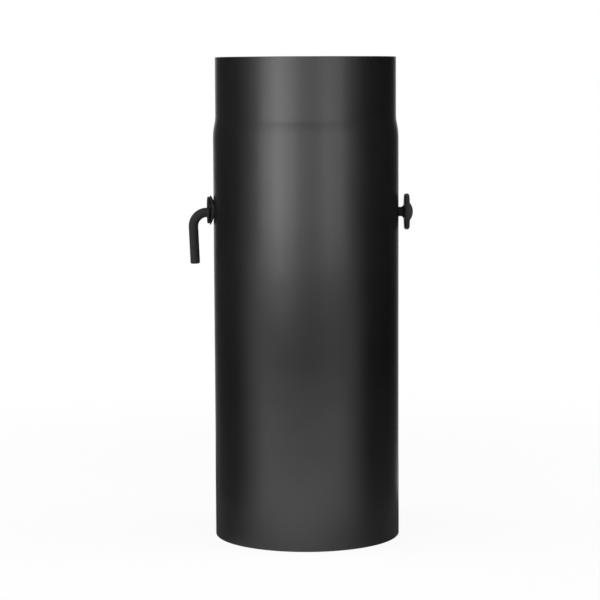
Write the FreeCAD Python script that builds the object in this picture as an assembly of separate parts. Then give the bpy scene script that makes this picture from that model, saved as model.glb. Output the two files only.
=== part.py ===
import FreeCAD, Part
import math
import os

# A stove pipe with a built-in damper. Millimetres, +Z up, pipe axis on Z, bottom rim at z = 0.
# The damper shaft runs along X: handle at -X, riveted disc at +X. Modelled open, handle down.

# Pipe
pipe_length = 400.0
pipe_wall = 2.0
socket_bore = 150.5
socket_depth = 55.0
socket_swell = 0.15  # how far the socket is stretched over the body, in radius
socket_easing = 30.0  # height over which the socket eases into the body
joint_clearance = 0.25  # radial play of a spigot in the next pipe's socket
spigot_length = 48.0
shoulder_lower_bend = 12.4  # height of the shoulder's wide lower bend
shoulder_upper_bend = 6.6  # height of its tighter upper bend
rim_chamfer = 0.4

# Shaft and handle
shaft_diameter = 8.0
shaft_below_shoulder = 61.5
shaft_clearance = 0.3  # radial play in the pipe's two holes
handle_reach = 42.7  # from the shaft's axis down to the handle's tip
handle_lean = 2.3  # degrees, towards the pipe
bend_inside_radius = 7.4
tip_chamfer = 0.8

# Riveted disc on the right end
disc_diameter = 30.0
disc_thickness = 4.2
disc_chamfer = 1.0
disc_gap = 4.7  # from the pipe to the disc's back
hub_height = 2.0  # of the coned hub on the disc's back
tenon_diameter = 6.0
rivet_diameter = 16.0
rivet_height = 3.1

# Washers on the left end
handle_washer_diameter = 22.4
handle_washer_thickness = 2.0
spring_washer_diameter = 24.4
spring_washer_thickness = 0.8
spring_washer_bow = 25.0  # radius it is bowed to
outer_washer_play = 2.0  # radial play of these two on the shaft
inner_washer_diameter = 16.0
inner_washer_thickness = 1.6
inner_washer_play = 0.25
washer_chamfer = 0.4

# Split pin behind the inner washer
pin_wire = 1.0
pin_leg_gap = 0.1
pin_play = 0.1
pin_eye_radius = 1.7
pin_neck_radius = 1.0
pin_leg_bend = 2.0
pin_leg_length = 3.5
pin_spread = 40.0  # degrees, each leg

# Damper plate and the saddles that clamp it
plate_gap = 4.7  # left open all round when the damper is shut
plate_thickness = 2.0
saddle_spacing = 72.0
saddle_width = 16.0
saddle_thickness = 2.0
saddle_bend = 1.0
saddle_edge = 7.0  # from a screw's centre to the strap's end
saddle_corner = 3.0

# Saddle screws and nuts
screw_diameter = 5.0
screw_play = 0.25  # radial, in the saddles and the plate
thread_play = 0.05
hex_across_flats = 8.0
head_height = 3.5
nut_height = 4.0
screw_end = 1.5  # thread that shows past the nut
spanner_room = 0.4  # from the bent saddle to the screw's head

# Shared fits
seat = 0.1  # between pieces that bear on curved faces
bend_seat = 0.3  # from the handle washer to the start of the bend
grip = 0.05  # round the clamped shaft and the tenon

# Worked out from the sizes above
V = FreeCAD.Vector
ORIGIN = V(0, 0, 0)
X_AXIS = V(1, 0, 0)
Y_AXIS = V(0, 1, 0)
Z_AXIS = V(0, 0, 1)

socket_inside = socket_bore / 2
body_inside = socket_inside - socket_swell
body_outside = body_inside + pipe_wall
spigot_outside = socket_inside - joint_clearance
spigot_inside = spigot_outside - pipe_wall
spigot_foot = pipe_length - spigot_length
shoulder_turn = spigot_foot - shoulder_upper_bend
shoulder_foot = shoulder_turn - shoulder_lower_bend
socket_top = socket_depth + socket_easing
shaft_height = shoulder_foot - shaft_below_shoulder
shaft_radius = shaft_diameter / 2
SHAFT_CENTRE = V(0, 0, shaft_height)

disc_back = body_outside + disc_gap
disc_front = disc_back + disc_thickness
hub_end = disc_back - hub_height

spring_reach = spring_washer_diameter / 2
spring_foot = math.sqrt(body_outside**2 - spring_reach**2) + seat
spring_bow_centre = spring_foot - math.sqrt(spring_washer_bow**2 - spring_reach**2)
spring_crown = spring_bow_centre + spring_washer_bow + spring_washer_thickness
outer_washer_rise = outer_washer_play - seat
handle_washer_face = spring_crown + seat
bend_start = handle_washer_face + handle_washer_thickness + bend_seat
bend_radius = bend_inside_radius + shaft_radius

inner_washer_face = math.sqrt(body_inside**2 - (inner_washer_diameter / 2) ** 2) - seat
pin_place = inner_washer_face - inner_washer_thickness - seat - pin_wire / 2
pin_leg = (pin_wire + pin_leg_gap) / 2
PIN_WIRE_SIDES = 6

plate_radius = body_inside - plate_gap
plate_front = shaft_radius + grip
plate_back = plate_front + plate_thickness
saddle_inside = shaft_radius + grip
saddle_outside = saddle_inside + saddle_thickness
saddle_front = plate_front - saddle_thickness
hex_corner = hex_across_flats / math.sqrt(3)
screw_offset = saddle_outside + saddle_bend + hex_corner + spanner_room
saddle_reach = screw_offset + saddle_edge
SADDLE_PLACES = (-saddle_spacing / 2, saddle_spacing / 2)


def line(start, end):
    return Part.LineSegment(start, end).toShape()


def arc(start, middle, end):
    return Part.Arc(start, middle, end).toShape()


def outline(points):
    return [line(a, b) for a, b in zip(points, points[1:])]


def face_of(edges):
    return Part.Face(Part.Wire(Part.__sortEdges__(edges)))


def round_edges(shape, radius, wanted):
    return shape.makeFillet(radius, [edge for edge in shape.Edges if wanted(edge)])


def chamfer_edges(shape, size, wanted):
    return shape.makeChamfer(size, [edge for edge in shape.Edges if wanted(edge)])


# Two tangent arcs that carry a skin from one radius of the pipe to another and meet at `turn_height`.
# The skin lies `offset` outside the middle of the wall, so both skins stay parallel.
def s_curve(low_radius, low_height, turn_height, high_radius, high_height, offset):
    step = low_radius - high_radius
    rise = high_height - low_height
    side = math.copysign(1.0, step)
    both_bends = (step**2 + rise**2) / (2 * abs(step))
    low_middle = both_bends * (turn_height - low_height) / rise
    high_middle = both_bends - low_middle
    low_centre = V(low_radius - side * low_middle, 0, low_height)
    high_centre = V(high_radius + side * high_middle, 0, high_height)
    along = (high_centre - low_centre).normalize()
    middle = (along + X_AXIS * side).normalize()
    low_bend = low_middle + side * offset
    high_bend = high_middle - side * offset
    start = V(low_radius + offset, 0, low_height)
    meeting = low_centre + along * low_bend
    end = V(high_radius + offset, 0, high_height)
    return [
        arc(start, low_centre + middle * low_bend, meeting),
        arc(meeting, high_centre - middle * high_bend, end),
    ]


# One side of the pipe's wall, from the bottom rim to the top rim
def pipe_skin(offset):
    half_wall = pipe_wall / 2
    socket = socket_inside + half_wall
    body = body_inside + half_wall
    spigot = spigot_inside + half_wall
    below_shoulder = outline(
        [
            V(socket + offset, 0, 0),
            V(socket + offset, 0, socket_depth),
            V(body + offset, 0, socket_top),
            V(body + offset, 0, shoulder_foot),
        ]
    )
    shoulder = s_curve(body, shoulder_foot, shoulder_turn, spigot, spigot_foot, offset)
    above_shoulder = line(V(spigot + offset, 0, spigot_foot), V(spigot + offset, 0, pipe_length))
    return below_shoulder + shoulder + [above_shoulder]


def pipe_body():
    edges = pipe_skin(pipe_wall / 2) + pipe_skin(-pipe_wall / 2)
    edges += [line(V(socket_inside, 0, 0), V(socket_inside + pipe_wall, 0, 0))]
    edges += [line(V(spigot_inside, 0, pipe_length), V(spigot_outside, 0, pipe_length))]
    pipe = face_of(edges).revolve(ORIGIN, Z_AXIS, 360)

    def on_a_rim(edge):
        box = edge.BoundBox
        flat = box.ZLength < rim_chamfer / 2
        return flat and (abs(box.ZMin) < rim_chamfer / 2 or abs(box.ZMin - pipe_length) < rim_chamfer / 2)

    pipe = chamfer_edges(pipe, rim_chamfer, on_a_rim)
    half_length = body_outside + pipe_wall
    start = SHAFT_CENTRE - X_AXIS * half_length
    hole = Part.makeCylinder(shaft_radius + shaft_clearance, 2 * half_length, start, X_AXIS)
    return pipe.cut(hole)


# A profile of (distance along X, radius) points, turned about the shaft's axis
def turned(edges):
    solid = face_of(edges).revolve(ORIGIN, X_AXIS, 360)
    solid.translate(SHAFT_CENTRE)
    return solid


def ring(start, thickness, outside, bore):
    corners = [
        V(start, 0, bore),
        V(start + thickness, 0, bore),
        V(start + thickness, 0, outside),
        V(start, 0, outside),
        V(start, 0, bore),
    ]
    return turned(outline(corners))


def damper_shaft():
    rivet = rivet_diameter / 2
    crown = (rivet**2 + rivet_height**2) / (2 * rivet_height)
    half_angle = math.asin(rivet / crown) / 2
    crown_centre = disc_front + rivet_height - crown
    apex = V(disc_front + rivet_height, 0, 0)
    mid_crown = V(crown_centre + crown * math.cos(half_angle), 0, crown * math.sin(half_angle))
    rod = outline(
        [
            apex,
            V(-bend_start, 0, 0),
            V(-bend_start, 0, shaft_radius),
            V(hub_end, 0, shaft_radius),
            V(hub_end, 0, tenon_diameter / 2),
            V(disc_front, 0, tenon_diameter / 2),
            V(disc_front, 0, rivet),
        ]
    )
    shaft = turned(rod + [arc(V(disc_front, 0, rivet), mid_crown, apex)])

    start = SHAFT_CENTRE - X_AXIS * bend_start
    bend_centre = start - Z_AXIS * bend_radius
    section = Part.Face(Part.Wire(Part.makeCircle(shaft_radius, start, X_AXIS)))
    elbow = section.revolve(bend_centre, -Y_AXIS, 90 + handle_lean)

    lean = math.radians(handle_lean)
    downward = V(math.sin(lean), 0, -math.cos(lean))
    knee = bend_centre + V(-math.cos(lean), 0, -math.sin(lean)) * bend_radius
    leg_length = (handle_reach - shaft_height + knee.z) / math.cos(lean)
    leg = Part.makeCylinder(shaft_radius, leg_length, knee, downward)
    tip = knee + downward * leg_length

    def at_the_tip(edge):
        return edge.CenterOfMass.distanceToPoint(tip) < tip_chamfer / 10

    leg = chamfer_edges(leg, tip_chamfer, at_the_tip)
    shaft = shaft.fuse([elbow, leg]).removeSplitter()
    pin_hole = Part.makeCylinder(
        pin_leg + pin_wire / 2 + pin_play,
        2 * shaft_diameter,
        SHAFT_CENTRE + V(-pin_place, 0, -shaft_diameter),
        Z_AXIS,
    )
    return shaft.cut(pin_hole)


def end_disc():
    outside = disc_diameter / 2
    bore = tenon_diameter / 2 + grip
    corners = [
        V(hub_end, 0, bore),
        V(disc_front, 0, bore),
        V(disc_front, 0, outside - disc_chamfer),
        V(disc_front - disc_chamfer, 0, outside),
        V(disc_back + disc_chamfer, 0, outside),
        V(disc_back, 0, outside - disc_chamfer),
        V(disc_back, 0, shaft_radius + hub_height),
        V(hub_end, 0, shaft_radius),
        V(hub_end, 0, bore),
    ]
    return turned(outline(corners))


# The two outer washers are pinched where their bores meet the underside of the shaft.
def handle_washer():
    outside = handle_washer_diameter / 2
    start = -handle_washer_face - handle_washer_thickness
    washer = ring(start, handle_washer_thickness, outside, shaft_radius + outer_washer_play)

    def on_the_rim(edge):
        return abs(edge.BoundBox.ZLength - 2 * outside) < washer_chamfer

    washer = chamfer_edges(washer, washer_chamfer, on_the_rim)
    washer.translate(Z_AXIS * outer_washer_rise)
    return washer


def inner_washer():
    outside = inner_washer_diameter / 2
    return ring(-inner_washer_face, inner_washer_thickness, outside, shaft_radius + inner_washer_play)


# A round washer cut from a sheet that is bowed about an upright axis, so its sides meet the pipe.
def spring_washer():
    centre = SHAFT_CENTRE + Z_AXIS * outer_washer_rise
    foot = centre - X_AXIS * spring_bow_centre - Z_AXIS * spring_washer_diameter
    height = 2 * spring_washer_diameter
    outer = Part.makeCylinder(spring_washer_bow + spring_washer_thickness, height, foot, Z_AXIS)
    inner = Part.makeCylinder(spring_washer_bow, height, foot, Z_AXIS)
    blank_start = centre - X_AXIS * spring_bow_centre
    depth = 2 * spring_washer_bow
    blank = Part.makeCylinder(spring_reach, depth, blank_start, -X_AXIS)
    bore = Part.makeCylinder(shaft_radius + outer_washer_play, depth, blank_start, -X_AXIS)
    return outer.cut(inner).common(blank).cut(bore)


# One leg of the split pin, from its spread end up to the point where its eye begins.
# `side` is -1 or 1. Returns the edges in order and the last point.
def pin_leg_path(side):
    spread = math.radians(pin_spread)
    exit_height = shaft_height - shaft_radius - pin_wire / 2
    neck_height = shaft_height + shaft_radius

    def at(across, height):
        return V(-pin_place, side * across, height)

    def on_bend(angle):
        across = pin_leg + pin_leg_bend * (1 - math.cos(angle))
        return at(across, exit_height - pin_leg_bend * math.sin(angle))

    bend_end = on_bend(spread)
    spread_way = at(math.sin(spread), -math.cos(spread)) - at(0, 0)
    free_end = bend_end + spread_way * pin_leg_length

    neck_across = pin_leg + pin_neck_radius
    reach = pin_neck_radius + pin_eye_radius
    eye_angle = math.acos(neck_across / reach)

    def on_neck(angle):
        across = neck_across - pin_neck_radius * math.cos(angle)
        return at(across, neck_height + pin_neck_radius * math.sin(angle))

    neck_end = on_neck(eye_angle)
    edges = [
        line(free_end, bend_end),
        arc(bend_end, on_bend(spread / 2), on_bend(0)),
        line(on_bend(0), on_neck(0)),
        arc(on_neck(0), on_neck(eye_angle / 2), neck_end),
    ]
    eye_top = at(0, neck_height + reach * math.sin(eye_angle) + pin_eye_radius)
    return edges, free_end, -spread_way, neck_end, eye_top


def split_pin():
    near_edges, free_end, way, near_neck, eye_top = pin_leg_path(-1)
    far_edges, _, _, far_neck, _ = pin_leg_path(1)
    eye = arc(near_neck, eye_top, far_neck)
    path = Part.Wire(Part.__sortEdges__(near_edges + [eye] + far_edges))
    across = way.cross(X_AXIS)
    corners = []
    for i in range(PIN_WIRE_SIDES + 1):
        angle = 2 * math.pi * i / PIN_WIRE_SIDES
        corners += [free_end + (X_AXIS * math.cos(angle) + across * math.sin(angle)) * pin_wire / 2]
    section = Part.Wire(outline(corners))
    return path.makePipeShell([section], True, False)


# A cylinder along +Y from `front`, at a place on the damper plate
def across_plate(radius, front, back, x, z):
    return Part.makeCylinder(radius, back - front, V(x, front, shaft_height + z), Y_AXIS)


SCREW_PLACES = [(x, z) for x in SADDLE_PLACES for z in (-screw_offset, screw_offset)]


def drill_for_screws(shape, front, back):
    holes = [across_plate(screw_diameter / 2 + screw_play, front, back, x, z) for x, z in SCREW_PLACES]
    return shape.cut(holes)


def damper_plate():
    plate = across_plate(plate_radius, plate_front, plate_back, 0, 0)
    return drill_for_screws(plate, plate_front, plate_back)


# A strap bent over the shaft, with a foot on the plate above and below it
def saddle(place):
    bend_outside = saddle_bend + saddle_thickness
    wall_end = plate_front - bend_outside
    foot_start = saddle_inside + bend_outside

    def at(y, z):
        return V(place - saddle_width / 2, y, shaft_height + z)

    # The curved corner between the wall and the foot, on one side of the shaft
    def corner(radius, side):
        slant = radius * math.sqrt(0.5)
        return arc(
            at(wall_end, side * (foot_start - radius)),
            at(wall_end + slant, side * (foot_start - slant)),
            at(wall_end + radius, side * foot_start),
        )

    edges = [
        arc(at(0, -saddle_outside), at(-saddle_outside, 0), at(0, saddle_outside)),
        arc(at(0, -saddle_inside), at(-saddle_inside, 0), at(0, saddle_inside)),
    ]
    for side in (-1, 1):
        edges += [
            line(at(0, side * saddle_outside), at(wall_end, side * saddle_outside)),
            line(at(0, side * saddle_inside), at(wall_end, side * saddle_inside)),
            corner(saddle_bend, side),
            corner(bend_outside, side),
        ]
        edges += outline(
            [
                at(saddle_front, side * foot_start),
                at(saddle_front, side * saddle_reach),
                at(plate_front, side * saddle_reach),
                at(plate_front, side * foot_start),
            ]
        )
    strap = face_of(edges).extrude(X_AXIS * saddle_width)

    def at_a_foot_corner(edge):
        box = edge.BoundBox
        upright = box.YLength > saddle_thickness / 2 and box.XLength < saddle_thickness / 2
        return upright and abs(edge.CenterOfMass.z - shaft_height) > saddle_reach - saddle_edge / 2

    strap = round_edges(strap, saddle_corner, at_a_foot_corner)
    return drill_for_screws(strap, saddle_front, plate_front)


# A hexagon along Y with its corners eased at the end away from the plate
def hexagon(seat_y, free_y, x, z):
    centre = V(x, seat_y, shaft_height + z)
    corners = []
    for step in range(7):
        angle = math.radians(60 * step)
        corners.append(centre + V(math.cos(angle), 0, math.sin(angle)) * hex_corner)
    height = free_y - seat_y
    prism = Part.Face(Part.makePolygon(corners)).extrude(Y_AXIS * height)
    eased = (hex_corner - hex_across_flats / 2) * math.tan(math.radians(30))
    outward = Y_AXIS * math.copysign(1.0, height)
    straight = abs(height) - eased
    body = Part.makeCylinder(hex_corner, straight, centre, outward)
    cap = Part.makeCone(hex_corner, hex_across_flats / 2, eased, centre + outward * straight, outward)
    return prism.common(body.fuse(cap)).removeSplitter()


def saddle_screws():
    thread_end = plate_back + nut_height + screw_end
    screws = []
    for x, z in SCREW_PLACES:
        head = hexagon(saddle_front, saddle_front - head_height, x, z)
        shank = across_plate(screw_diameter / 2, saddle_front, thread_end, x, z)
        screws.append(head.fuse(shank).removeSplitter())
    return Part.makeCompound(screws)


def saddle_nuts():
    nuts = []
    nut_end = plate_back + nut_height
    for x, z in SCREW_PLACES:
        bore = across_plate(screw_diameter / 2 + thread_play, plate_back, nut_end, x, z)
        nuts.append(hexagon(plate_back, nut_end, x, z).cut(bore))
    return Part.makeCompound(nuts)


PIECES = {
    "pipe_body": pipe_body(),
    "damper_shaft": damper_shaft(),
    "end_disc": end_disc(),
    "handle_washer": handle_washer(),
    "spring_washer": spring_washer(),
    "inner_washer": inner_washer(),
    "split_pin": split_pin(),
    "damper_plate": damper_plate(),
    "left_saddle": saddle(SADDLE_PLACES[0]),
    "right_saddle": saddle(SADDLE_PLACES[1]),
    "saddle_screws": saddle_screws(),
    "saddle_nuts": saddle_nuts(),
}

os.makedirs("parts", exist_ok=True)
for name, shape in PIECES.items():
    shape.exportStep(f"parts/{name}.step")
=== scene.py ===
import math

import bpy
from mathutils import Matrix, Vector


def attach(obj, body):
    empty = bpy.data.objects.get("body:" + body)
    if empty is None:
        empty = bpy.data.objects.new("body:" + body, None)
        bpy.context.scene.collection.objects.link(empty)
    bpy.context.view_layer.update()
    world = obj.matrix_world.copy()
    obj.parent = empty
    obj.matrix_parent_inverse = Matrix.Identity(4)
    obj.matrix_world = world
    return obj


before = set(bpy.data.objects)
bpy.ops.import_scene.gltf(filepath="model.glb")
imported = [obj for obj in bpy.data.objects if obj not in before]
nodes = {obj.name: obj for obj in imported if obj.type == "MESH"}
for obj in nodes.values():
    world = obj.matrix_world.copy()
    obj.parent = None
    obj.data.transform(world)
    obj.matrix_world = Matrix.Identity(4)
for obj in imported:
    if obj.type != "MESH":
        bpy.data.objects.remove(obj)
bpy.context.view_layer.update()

# Lengths are in metres and angles in degrees. An azimuth is 0 towards the camera and positive to
# its right.

# Camera, fitted to the rims, the edges and the shaft in the photo
CAMERA_PLACE = Vector((-0.0054, -1.7898, 0.3875))
CAMERA_PITCH = 6.055
CAMERA_ROLL = -0.269
CAMERA_LENS = 128.94  # millimetres

# Floor as the camera sees it
FLOOR_RADIUS = 4.0
FLOOR_SIDES = 96
FLOOR_TONE = (0.85, 0.85, 0.85, 1.0)
FLOOR_GLOW_NEAR = 0.90  # share of plain white close to the pipe, the rest shows the shadow
FLOOR_GLOW_REACH = (0.15, 0.9)  # from the pipe's axis, from that share to plain white

# Floor as reflections see it: bright in front, dark beside the pipe and white straight behind it
FLOOR_BRIGHT_AZIMUTH = -9.0
FLOOR_FALL = (-0.45, 0.75)  # cosine from that azimuth, from the darkest to plain white
FLOOR_FALL_POWER = 2.0
FLOOR_DARKEST = 0.05
FLOOR_BACK = (-0.75, -0.95)  # cosine, from the darkest to plain white behind the pipe
# Close to the pipe the floor is darker for reflections: a painted shadow round the pipe's foot
FLOOR_FOOT_SHADE_REACH = (0.08, 0.30)  # from the axis, where the bright part of the floor is narrower
FLOOR_NARROWING = (0.5, -0.95)  # change of the cosine there: a share of it and a fixed part

AMBIENT = 0.30  # strength of the room for soft light, where the white backdrop is 1

# Curved bank of strip lights in front: the azimuth of each and its watts
STRIP_DISTANCE = 0.42
STRIP_MIDDLE = 0.350
STRIP_HEIGHT = 0.310
STRIP_WIDTH = 0.10
STRIP_LIGHTS = {
    -60: 0.072, -46: 0.150, -32: 0.245, -18: 0.175, -4: 0.096,
    10: 0.088, 24: 0.130, 38: 0.108, 52: 0.044,
}

# Boxes at both sides, for soft light alone
BOX_AZIMUTHS = (-90, 90)
BOX_DISTANCE = 0.65
BOX_MIDDLE = 0.60
BOX_TILT = 27.0
BOX_SIZE = 0.60
BOX_WATTS = 3.9

# Dark cards that only reflections see: the room in front, and a wall at each side that gets lighter
# towards its foot and its two ends. Start and end are places on the floor.
CARD_FOOT = 0.15
CARD_SOFT_FRONT = 0.13
CARD_SOFT_BACK = 0.26
CARDS = {
    "card_front": {"start": (-6.00, -0.86), "end": (6.00, -0.86), "top": 1.10},
    "card_left": {
        "start": (-0.20, -0.16), "end": (-0.20, 0.31), "top": 0.60,
        "tone": 0.024, "foot_tone": 0.07, "front_tone": 0.45, "back_tone": 0.12,
    },
    "card_right": {
        "start": (0.20, -0.20), "end": (0.20, 0.34), "top": 0.60,
        "foot_tone": 0.05, "front_tone": 0.40, "back_tone": 0.18,
    },
}

NOISE_RANGE = (0.3, 0.7)  # where most values of a noise lie
FINE_BUMP = 0.4  # strength of the bump of paint grain and rolling marks

# Stove paint
PAINT_DRIFT_SCALE = 9.0
PAINT_WAVE_SCALE = 22.0
PAINT_TONE_SPREAD = 0.16  # share of the tone
PAINT_BLUE = 1.03  # blue for each part of red and green
PAINT_ROUGHNESS_SPREAD = (-0.02, 0.03)
PAINT_GRAIN_DEPTH = 0.00002

# The pipe's inside is bare between two heights, because paint mist reaches in at both rims
MIST_BELOW = (0.012, 0.035)
MIST_ABOVE = (0.372, 0.390)
MIST_SPECKLE_SCALE = 700.0
MIST_SPECKLE = 0.016  # height over which the mist's edge is uneven
INSIDE_FACING = -0.01  # place from the axis times normal, less than this on the inner wall
INSIDE_SCALE = 45.0
INSIDE_TONES = (
    (0.30, (0.150, 0.145, 0.140)),
    (0.55, (0.240, 0.232, 0.225)),
    (0.75, (0.260, 0.215, 0.180)),
)
INSIDE_ROUGHNESS = (0.62, 0.48)

# Bare steel
STEEL_TONE_RANGE = (0.32, 0.68)
STEEL_ROUGHNESS_SPREAD = 0.08
STEEL_MARK_DEPTH = 0.00003

# Weld seam along the back of the body, dressed flush on the spigot
SEAM_HALF_WIDTH = 0.0020
SEAM_HEIGHT = 0.00025
SEAM_SUNK = 0.00005
SEAM_ENDS = (0.003, 0.328)
SEAM_TAPER = 0.010
SEAM_STEP = 0.00065
SEAM_ACROSS = (-1.0, -0.75, -0.45, -0.15, 0.15, 0.45, 0.75, 1.0)  # shares of the half width
SEAM_RIPPLE = 0.00130  # from one ripple to the next
SEAM_RIPPLE_DEPTH = 0.18  # share of the seam's height
SEAM_RIPPLE_BOW = 0.35  # share of a ripple by which its sides are ahead of its middle
BODY_RADIUS = 0.07710
SOCKET_RADIUS = 0.07725
SOCKET_EASING = (0.055, 0.085)


def add(tree, kind, inputs, **settings):
    """A new node. An input that is a socket is linked, any other value is set."""
    node = tree.nodes.new(kind)
    for name, value in settings.items():
        setattr(node, name, value)
    for name, value in inputs.items():
        if isinstance(value, bpy.types.NodeSocket):
            tree.links.new(value, node.inputs[name])
        else:
            node.inputs[name].default_value = value
    return node


def math_node(tree, operation, *values):
    return add(tree, "ShaderNodeMath", dict(enumerate(values)), operation=operation).outputs[0]


def vector_node(tree, operation, *values):
    return add(tree, "ShaderNodeVectorMath", dict(enumerate(values)), operation=operation).outputs


def noise(tree, place, scale, detail):
    inputs = {"Vector": place, "Scale": scale, "Detail": detail}
    return add(tree, "ShaderNodeTexNoise", inputs).outputs["Fac"]


def remap(tree, value, start, end, low, high, interpolation="SMOOTHSTEP"):
    inputs = {"Value": value, "From Min": start, "From Max": end, "To Min": low, "To Max": high}
    node = add(tree, "ShaderNodeMapRange", inputs, interpolation_type=interpolation)
    return node.outputs["Result"]


def tones(tree, value, *stops):
    ramp = add(tree, "ShaderNodeValToRGB", {"Fac": value})
    elements = ramp.color_ramp.elements
    while len(elements) < len(stops):
        elements.new(0.5)
    for element, (position, colour) in zip(elements, stops):
        element.position = position
        element.color = (*colour, 1.0)
    return ramp.outputs["Color"]


def bump(tree, height, distance, strength, below=None):
    inputs = {"Height": height, "Distance": distance, "Strength": strength}
    if below is not None:
        inputs["Normal"] = below
    return add(tree, "ShaderNodeBump", inputs).outputs["Normal"]


def new_material(name):
    material = bpy.data.materials.new(name)
    material.use_nodes = True
    tree = material.node_tree
    shader = tree.nodes["Principled BSDF"]
    place = tree.nodes.new("ShaderNodeTexCoord").outputs["Object"]
    return material, tree, shader, place


def link(tree, shader, **sockets):
    for name, value in sockets.items():
        tree.links.new(value, shader.inputs[name.replace("_", " ")])


# Heat-resistant paint, sprayed: near black, with a fine grain over a slightly uneven sheet
def stove_paint(name, tone, gloss, roughness, grain_scale, waviness):
    material, tree, shader, place = new_material(name)
    drift = noise(tree, place, PAINT_DRIFT_SCALE, detail=3.0)
    grain = noise(tree, place, grain_scale, detail=2.0)
    waves = noise(tree, place, PAINT_WAVE_SCALE, detail=1.0)
    darker = (1 - PAINT_TONE_SPREAD) * tone
    lighter = (1 + PAINT_TONE_SPREAD) * tone
    low, high = NOISE_RANGE
    dark_stop = (low, (darker, darker, PAINT_BLUE * darker))
    light_stop = (high, (lighter, lighter, PAINT_BLUE * lighter))
    colour = tones(tree, drift, dark_stop, light_stop)
    glossier, duller = (roughness + change for change in PAINT_ROUGHNESS_SPREAD)
    rough = remap(tree, drift, low, high, glossier, duller)
    sheet = bump(tree, waves, waviness, 1.0)
    surface = bump(tree, grain, PAINT_GRAIN_DEPTH, FINE_BUMP, sheet)
    shader.inputs["Specular IOR Level"].default_value = gloss
    link(tree, shader, Base_Color=colour, Roughness=rough, Normal=surface)
    return material


# Adds the pipe's inside to its paint: grey mill scale with a faint brown bloom
def bare_inside(material):
    tree = material.node_tree
    shader = tree.nodes["Principled BSDF"]
    spots = tree.nodes.new("ShaderNodeTexCoord").outputs
    place = spots["Object"]
    from_axis = vector_node(tree, "MULTIPLY", place, (1, 1, 0))["Vector"]
    facing = vector_node(tree, "DOT_PRODUCT", from_axis, spots["Normal"])["Value"]
    inward = math_node(tree, "LESS_THAN", facing, INSIDE_FACING)
    height = add(tree, "ShaderNodeSeparateXYZ", {"Vector": place}).outputs["Z"]
    spray = noise(tree, place, MIST_SPECKLE_SCALE, detail=3.0)
    speckle = math_node(tree, "MULTIPLY_ADD", spray, MIST_SPECKLE, -MIST_SPECKLE / 2)
    edge = math_node(tree, "ADD", height, speckle)
    clear_below = remap(tree, edge, *MIST_BELOW, 0.0, 1.0)
    clear_above = remap(tree, edge, *MIST_ABOVE, 1.0, 0.0)
    clear = math_node(tree, "MULTIPLY", clear_below, clear_above)
    bare = math_node(tree, "MULTIPLY", inward, clear)
    scale = noise(tree, place, INSIDE_SCALE, detail=6.0)
    steel = tones(tree, scale, *INSIDE_TONES)
    paint = shader.inputs["Base Color"].links[0].from_socket
    rough = shader.inputs["Roughness"].links[0].from_socket
    layers = {"Factor": bare, "A": paint, "B": steel}
    colour = add(tree, "ShaderNodeMix", layers, data_type="RGBA").outputs["Result"]
    dull = remap(tree, scale, *NOISE_RANGE, *INSIDE_ROUGHNESS)
    change = math_node(tree, "SUBTRACT", dull, rough)
    mixed_rough = math_node(tree, "MULTIPLY_ADD", bare, change, rough)
    link(tree, shader, Base_Color=colour, Roughness=mixed_rough, Metallic=bare)


# Darker and lighter patches, and fine rolling marks
def bare_steel(name, dark, light, roughness, patch_scale, mark_scale):
    material, tree, shader, place = new_material(name)
    shader.inputs["Metallic"].default_value = 1.0
    patches = noise(tree, place, patch_scale, detail=6.0)
    marks = noise(tree, place, mark_scale, detail=2.0)
    duller = roughness + STEEL_ROUGHNESS_SPREAD
    glossier = roughness - STEEL_ROUGHNESS_SPREAD
    rough = remap(tree, patches, *NOISE_RANGE, duller, glossier)
    low, high = STEEL_TONE_RANGE
    colour = tones(tree, patches, (low, dark), (high, light))
    surface = bump(tree, marks, STEEL_MARK_DEPTH, FINE_BUMP)
    link(tree, shader, Base_Color=colour, Roughness=rough, Normal=surface)
    return material


def set_material(node, material):
    for object_slot in nodes[node].material_slots:
        object_slot.material = material


pipe_paint = stove_paint(
    "pipe_paint_black", tone=0.0062, gloss=1.0, roughness=0.31, grain_scale=2600.0, waviness=0.0005
)
bare_inside(pipe_paint)
hardware_paint = stove_paint(
    "hardware_paint_black", tone=0.028, gloss=0.05, roughness=0.45, grain_scale=2200.0,
    waviness=0.00003,
)
plate_steel = bare_steel(
    "plate_steel_scaled", dark=(0.19, 0.19, 0.195), light=(0.33, 0.325, 0.32), roughness=0.50,
    patch_scale=60.0, mark_scale=900.0,
)
zinc_steel = bare_steel(
    "zinc_steel_bright", dark=(0.48, 0.48, 0.47), light=(0.62, 0.62, 0.60), roughness=0.35,
    patch_scale=300.0, mark_scale=2500.0,
)

set_material("pipe_body", pipe_paint)
for node in ("damper_shaft", "end_disc", "handle_washer", "spring_washer"):
    set_material(node, hardware_paint)
for node in ("damper_plate", "left_saddle", "right_saddle"):
    set_material(node, plate_steel)
for node in ("inner_washer", "split_pin", "saddle_screws", "saddle_nuts"):
    set_material(node, zinc_steel)


def mesh_object(name, points, faces):
    mesh = bpy.data.meshes.new(name)
    mesh.from_pydata(points, [], faces)
    made = bpy.data.objects.new(name, mesh)
    bpy.context.scene.collection.objects.link(made)
    return made


# The outside radius of the pipe at a height below its shoulder
def body_radius(z):
    start, end = SOCKET_EASING
    ease = min(max((z - start) / (end - start), 0.0), 1.0)
    ease = ease * ease * (3 - 2 * ease)
    return SOCKET_RADIUS + (BODY_RADIUS - SOCKET_RADIUS) * ease


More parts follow.
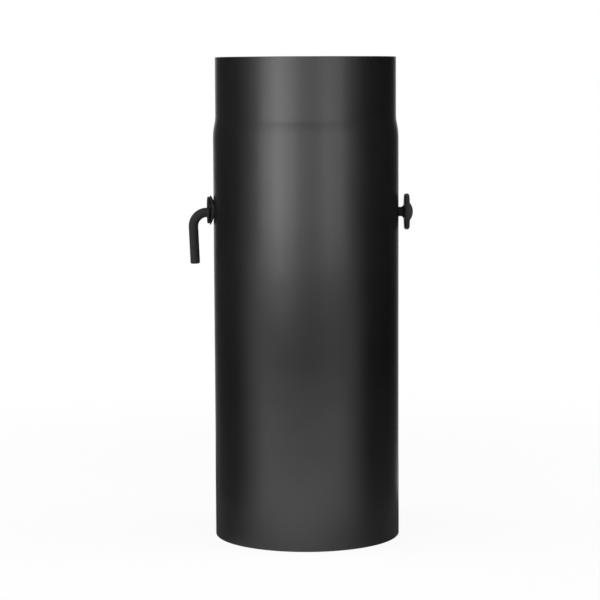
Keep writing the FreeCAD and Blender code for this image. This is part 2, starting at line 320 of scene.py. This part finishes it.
# A low rippled ridge that follows the outside of the body and tapers into it at both ends
def make_seam():
    low, high = SEAM_ENDS
    rows = round((high - low) / SEAM_STEP)
    points = []
    for row in range(rows + 1):
        z = low + row * SEAM_STEP
        radius = body_radius(z)
        taper = min(1.0, (z - low) / SEAM_TAPER, (high - z) / SEAM_TAPER)
        for u in SEAM_ACROSS:
            wave = math.sin(2 * math.pi * (z / SEAM_RIPPLE + SEAM_RIPPLE_BOW * u * u))
            ripple = 1 + SEAM_RIPPLE_DEPTH * wave
            lift = SEAM_HEIGHT * taper * (1 - u * u) * ripple - SEAM_SUNK * u * u
            turn = math.pi / 2 + u * SEAM_HALF_WIDTH / radius
            reach = radius + lift
            points.append((reach * math.cos(turn), reach * math.sin(turn), z))
    width = len(SEAM_ACROSS)
    starts = [row * width + i for row in range(rows) for i in range(width - 1)]
    faces = [(start + 1, start, start + width, start + width + 1) for start in starts]
    seam = mesh_object("weld_seam", points, faces)
    seam.data.polygons.foreach_set("use_smooth", [True] * len(faces))
    seam.data.materials.append(pipe_paint)
    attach(seam, "pipe")


def stage_material(name):
    material = bpy.data.materials.new(name)
    material.use_nodes = True
    tree = material.node_tree
    tree.nodes.clear()
    place = tree.nodes.new("ShaderNodeTexCoord").outputs["Object"]
    return material, tree, place


# 1 for rays that show the background, 0 for rays that carry soft light
def shows_background(tree):
    path = tree.nodes.new("ShaderNodeLightPath").outputs
    seen = math_node(tree, "MAXIMUM", path["Is Camera Ray"], path["Is Glossy Ray"])
    return math_node(tree, "MAXIMUM", seen, path["Is Transmission Ray"])


# The floor's brightness as reflections see it, darker and narrower close to the pipe: a painted
# shadow round its foot
def mirrored_floor(tree, place, away):
    turn = math.radians(FLOOR_BRIGHT_AZIMUTH)
    bright_way = (math.sin(turn), -math.cos(turn), 0)
    along = vector_node(tree, "DOT_PRODUCT", place, bright_way)["Value"]
    facing = math_node(tree, "DIVIDE", along, away)
    change = math_node(tree, "MULTIPLY_ADD", facing, *FLOOR_NARROWING)
    # Painted shadow: close to the pipe's foot the bright part of the floor narrows and darkens for
    # reflections
    foot_shade = remap(tree, away, *FLOOR_FOOT_SHADE_REACH, 1.0, 0.0)
    narrowed = math_node(tree, "MULTIPLY_ADD", change, foot_shade, facing)
    rise = remap(tree, narrowed, *FLOOR_FALL, 0.0, 1.0, interpolation="LINEAR")
    front = math_node(tree, "POWER", rise, FLOOR_FALL_POWER)
    near = math_node(tree, "MULTIPLY_ADD", front, 1.0 - FLOOR_DARKEST, FLOOR_DARKEST)
    behind = remap(tree, facing, *FLOOR_BACK, 0.0, 1.0)
    return math_node(tree, "MAXIMUM", near, behind)


def make_floor():
    angles = [2 * math.pi * i / FLOOR_SIDES for i in range(FLOOR_SIDES)]
    rim = [(FLOOR_RADIUS * math.cos(a), FLOOR_RADIUS * math.sin(a), 0.0) for a in angles]
    floor = mesh_object("floor", rim, [range(FLOOR_SIDES)])
    material, tree, place = stage_material("floor_white")
    away = vector_node(tree, "LENGTH", place)["Value"]
    glow = remap(tree, away, *FLOOR_GLOW_REACH, FLOOR_GLOW_NEAR, 1.0)
    share = math_node(tree, "MULTIPLY", glow, shows_background(tree))
    reflected = tree.nodes.new("ShaderNodeLightPath").outputs["Is Glossy Ray"]
    darkness = math_node(tree, "SUBTRACT", 1.0, mirrored_floor(tree, place, away))
    lost = math_node(tree, "MULTIPLY", reflected, darkness)
    strength = math_node(tree, "SUBTRACT", 1.0, lost)
    paper = add(tree, "ShaderNodeBsdfDiffuse", {"Color": FLOOR_TONE}).outputs[0]
    white = add(tree, "ShaderNodeEmission", {"Strength": strength}).outputs[0]
    mixed = add(tree, "ShaderNodeMixShader", {0: share, 1: paper, 2: white}).outputs[0]
    add(tree, "ShaderNodeOutputMaterial", {"Surface": mixed})
    floor.data.materials.append(material)


def make_card(name, start, end, top, tone=0.0, foot_tone=0.0, front_tone=0.0, back_tone=0.0):
    corners = [(*start, 0), (*end, 0), (*end, top), (*start, top)]
    card = mesh_object(name, corners, [range(4)])
    material, tree, place = stage_material(name)
    axes = add(tree, "ShaderNodeSeparateXYZ", {"Vector": place}).outputs
    middle = remap(tree, axes["Z"], 0.0, CARD_FOOT, foot_tone, tone)
    front = remap(tree, axes["Y"], start[1], start[1] + CARD_SOFT_FRONT, front_tone, 0.0)
    back = remap(tree, axes["Y"], end[1] - CARD_SOFT_BACK, end[1], 0.0, back_tone)
    strength = math_node(tree, "ADD", middle, math_node(tree, "ADD", front, back))
    surface = add(tree, "ShaderNodeEmission", {"Strength": strength}).outputs[0]
    add(tree, "ShaderNodeOutputMaterial", {"Surface": surface})
    card.data.materials.append(material)
    card.visible_camera = False
    card.visible_shadow = False
    card.visible_diffuse = False


def make_light(name, azimuth, distance, middle, width, height, watts, tilt=0.0):
    light = bpy.data.lights.new(name, "AREA")
    light.shape = "RECTANGLE"
    light.size = width
    light.size_y = height
    light.energy = watts
    made = bpy.data.objects.new(name, light)
    turn = math.radians(azimuth)
    made.location = (distance * math.sin(turn), -distance * math.cos(turn), middle)
    made.rotation_euler = (math.radians(90 - tilt), 0, turn)
    made.visible_camera = False
    bpy.context.scene.collection.objects.link(made)
    return made


def make_lights():
    for azimuth, watts in STRIP_LIGHTS.items():
        make_light(
            "strip_light", azimuth, STRIP_DISTANCE, STRIP_MIDDLE, STRIP_WIDTH, STRIP_HEIGHT, watts
        )
    for azimuth in BOX_AZIMUTHS:
        box = make_light(
            "side_box", azimuth, BOX_DISTANCE, BOX_MIDDLE, BOX_SIZE, BOX_SIZE, BOX_WATTS, BOX_TILT
        )
        box.visible_glossy = False


def make_world():
    world = bpy.data.worlds.new("studio")
    world.use_nodes = True
    tree = world.node_tree
    seen = shows_background(tree)
    strength = math_node(tree, "MULTIPLY_ADD", seen, 1.0 - AMBIENT, AMBIENT)
    background = tree.nodes["Background"]
    background.inputs["Color"].default_value = (1.0, 1.0, 1.0, 1.0)
    tree.links.new(strength, background.inputs["Strength"])
    bpy.context.scene.world = world


def make_camera():
    data = bpy.data.cameras.new("camera")
    data.lens = CAMERA_LENS
    camera = bpy.data.objects.new("camera", data)
    tilt = Matrix.Rotation(math.radians(90 - CAMERA_PITCH), 4, "X")
    roll = Matrix.Rotation(math.radians(CAMERA_ROLL), 4, "Z")
    camera.matrix_world = Matrix.Translation(CAMERA_PLACE) @ tilt @ roll
    bpy.context.scene.collection.objects.link(camera)
    bpy.context.scene.camera = camera


make_seam()
make_floor()
for name, card in CARDS.items():
    make_card(name, **card)
make_lights()
make_world()
make_camera()
bpy.context.scene.view_settings.view_transform = "Standard"
